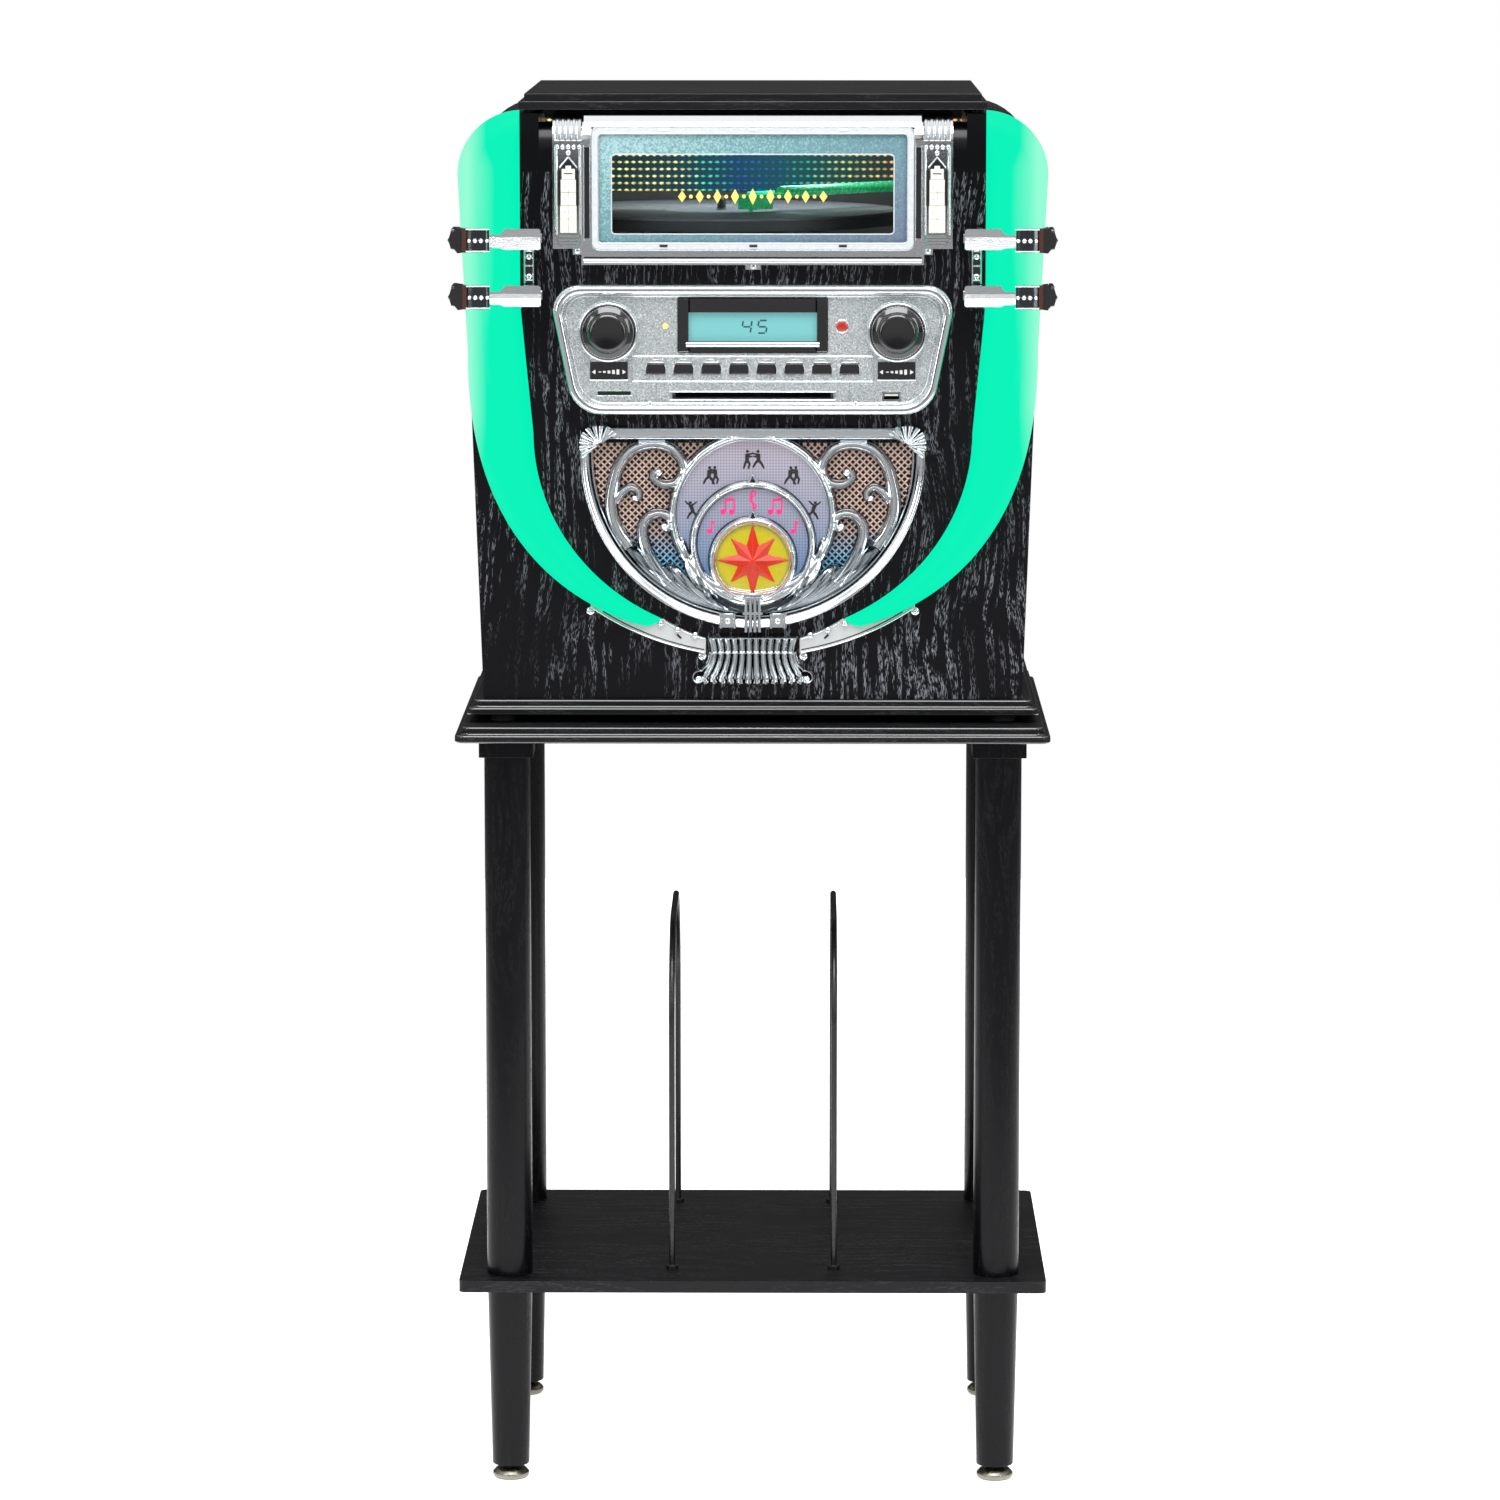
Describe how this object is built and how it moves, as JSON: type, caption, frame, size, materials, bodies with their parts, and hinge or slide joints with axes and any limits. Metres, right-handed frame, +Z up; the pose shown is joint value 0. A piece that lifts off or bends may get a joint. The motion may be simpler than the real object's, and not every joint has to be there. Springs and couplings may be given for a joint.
{
  "type": "jukebox",
  "caption": "Free-standing jukebox with a record player under a hinged lid, radio and disc slot, lit arches and a leg stand with a record shelf.",
  "frame": {"origin": "middle of the footprint, on the floor", "axes": "+Z up, -Y out of the front, +X to the right seen from the front"},
  "size_m": [0.484, 0.375, 1.1276],
  "materials": {
    "black_ash": "satin",
    "antique_nickel": "satin",
    "black_wire": "gloss",
    "zinc": "satin",
    "rubber": "matte",
    "black_board": "matte",
    "black_plastic": "satin",
    "lit_plastic": "lit",
    "led_board": "gloss",
    "chrome_plating": "polished",
    "window_glass": "polished",
    "foil": "polished",
    "silver_face": "sparkle",
    "display": "gloss",
    "steel_case": "satin",
    "circuit_board": "gloss",
    "gloss_black": "gloss",
    "stem_metal": "satin",
    "mesh_cloth": "woven",
    "picture_print": "translucent",
    "star_plastic": "gloss",
    "brass": "polished",
    "arm_metal": "satin"
  },
  "bodies": {
    "cabinet": {"stand_top": "black_ash", "leg_blocks": "black_ash", "upper_legs": "black_ash", "lower_legs": "black_ash", "shelf": "black_ash", "base_plate": "black_ash", "front_panel": "black_ash", "side_panel_left": "black_ash", "side_panel_right": "black_ash", "foot_glides": "antique_nickel", "record_divider_left": "black_wire", "record_divider_right": "black_wire", "fasteners": "zinc", "hinge_fixed_leaves": "zinc", "rubber_feet": "rubber", "drive_belt": "rubber", "rear_panel": "black_board", "turntable_deck": "black_plastic", "jack_panel": "black_plastic", "speakers": "black_plastic", "arch_tube_left": "lit_plastic", "arch_tube_right": "lit_plastic", "led_strips": "led_board", "arch_clamp_left": "chrome_plating", "arch_clamp_right": "chrome_plating", "window_frame": "chrome_plating", "grille_frame": "chrome_plating", "lower_trim": "chrome_plating", "foot_ornament": "chrome_plating", "window_pane": "window_glass", "foil_panel": "foil", "control_panel": "silver_face", "lcd_module": "display", "cd_mechanism": "steel_case", "motor": "steel_case", "circuit_boards": "circuit_board", "grille_mesh": "mesh_cloth", "picture_panel": "picture_print", "star_medallion": "star_plastic"},
    "lid": {"lid": "black_ash", "hinge_lid_leaves": "zinc"},
    "platter": {"platter": "black_plastic", "platter_mat": "rubber"},
    "pulley": {"motor_pulley": "brass"},
    "turret": {"tonearm_turret": "black_plastic"},
    "arm": {"tonearm": "arm_metal"},
    "cue": {"cue_lever": "chrome_plating"},
    "selector": {"speed_selector": "black_plastic"},
    "volume_stem": {"volume_stem": "stem_metal"},
    "volume_knob": {"volume_knob": "gloss_black"},
    "tuning_stem": {"tuning_stem": "stem_metal"},
    "tuning_knob": {"tuning_knob": "gloss_black"},
    "button_1": {"button_1": "gloss_black"},
    "button_2": {"button_2": "gloss_black"},
    "button_3": {"button_3": "gloss_black"},
    "button_4": {"button_4": "gloss_black"},
    "button_5": {"button_5": "gloss_black"},
    "button_6": {"button_6": "gloss_black"},
    "button_7": {"button_7": "gloss_black"},
    "button_8": {"button_8": "gloss_black"}
  },
  "joints": [
    {"name": "lid_hinge", "type": "hinge", "parent": "cabinet", "child": "lid", "pos_m": [0, 0.184, 1.113], "axis": [-1, 0, 0], "range_deg": [0, 78]},
    {"name": "platter_spin", "type": "hinge", "parent": "cabinet", "child": "platter", "pos_m": [-0.027, 0.014, 1.026], "axis": [0, 0, 1], "continuous": true},
    {"name": "pulley_spin", "type": "hinge", "parent": "cabinet", "child": "pulley", "pos_m": [-0.094, 0.081, 1.014], "axis": [0, 0, 1], "continuous": true},
    {"name": "tonearm_swing", "type": "hinge", "parent": "cabinet", "child": "turret", "pos_m": [0.15, 0.105, 1.02], "axis": [0, 0, 1], "range_deg": [-4, 43]},
    {"name": "tonearm_lift", "type": "hinge", "parent": "turret", "child": "arm", "pos_m": [0.15, 0.105, 1.044], "axis": [-0.7071, 0.7071, 0], "range_deg": [0, 8]},
    {"name": "cue_lever_turn", "type": "hinge", "parent": "cabinet", "child": "cue", "pos_m": [0.185, 0.06, 1.014], "axis": [-1, 0, 0], "range_deg": [0, 50]},
    {"name": "speed_select", "type": "hinge", "parent": "cabinet", "child": "selector", "pos_m": [0.185, -0.095, 1.004], "axis": [0, 0, 1], "range_deg": [-30, 30]},
    {"name": "volume_push", "type": "slide", "parent": "cabinet", "child": "volume_stem", "axis": [0, 1, 0], "range_m": [0, 0.001], "stiffness_N_per_m": 800},
    {"name": "volume_turn", "type": "hinge", "parent": "volume_stem", "child": "volume_knob", "pos_m": [-0.115, -0.15, 0.9396], "axis": [0, -1, 0], "continuous": true},
    {"name": "tuning_push", "type": "slide", "parent": "cabinet", "child": "tuning_stem", "axis": [0, 1, 0], "range_m": [0, 0.001], "stiffness_N_per_m": 800},
    {"name": "tuning_turn", "type": "hinge", "parent": "tuning_stem", "child": "tuning_knob", "pos_m": [0.115, -0.15, 0.9396], "axis": [0, -1, 0], "continuous": true},
    {"name": "press_1", "type": "slide", "parent": "cabinet", "child": "button_1", "axis": [0, 1, 0], "range_m": [0, 0.0012], "stiffness_N_per_m": 300},
    {"name": "press_2", "type": "slide", "parent": "cabinet", "child": "button_2", "axis": [0, 1, 0], "range_m": [0, 0.0012], "stiffness_N_per_m": 300},
    {"name": "press_3", "type": "slide", "parent": "cabinet", "child": "button_3", "axis": [0, 1, 0], "range_m": [0, 0.0012], "stiffness_N_per_m": 300},
    {"name": "press_4", "type": "slide", "parent": "cabinet", "child": "button_4", "axis": [0, 1, 0], "range_m": [0, 0.0012], "stiffness_N_per_m": 300},
    {"name": "press_5", "type": "slide", "parent": "cabinet", "child": "button_5", "axis": [0, 1, 0], "range_m": [0, 0.0012], "stiffness_N_per_m": 300},
    {"name": "press_6", "type": "slide", "parent": "cabinet", "child": "button_6", "axis": [0, 1, 0], "range_m": [0, 0.0012], "stiffness_N_per_m": 300},
    {"name": "press_7", "type": "slide", "parent": "cabinet", "child": "button_7", "axis": [0, 1, 0], "range_m": [0, 0.0012], "stiffness_N_per_m": 300},
    {"name": "press_8", "type": "slide", "parent": "cabinet", "child": "button_8", "axis": [0, 1, 0], "range_m": [0, 0.0012], "stiffness_N_per_m": 300}
  ],
  "couplings": [
    {"joint": "pulley_spin", "follows": "platter_spin", "ratio": 10},
    {"joint": "cue_lever_turn", "follows": "tonearm_lift", "ratio": 6.25}
  ]
}
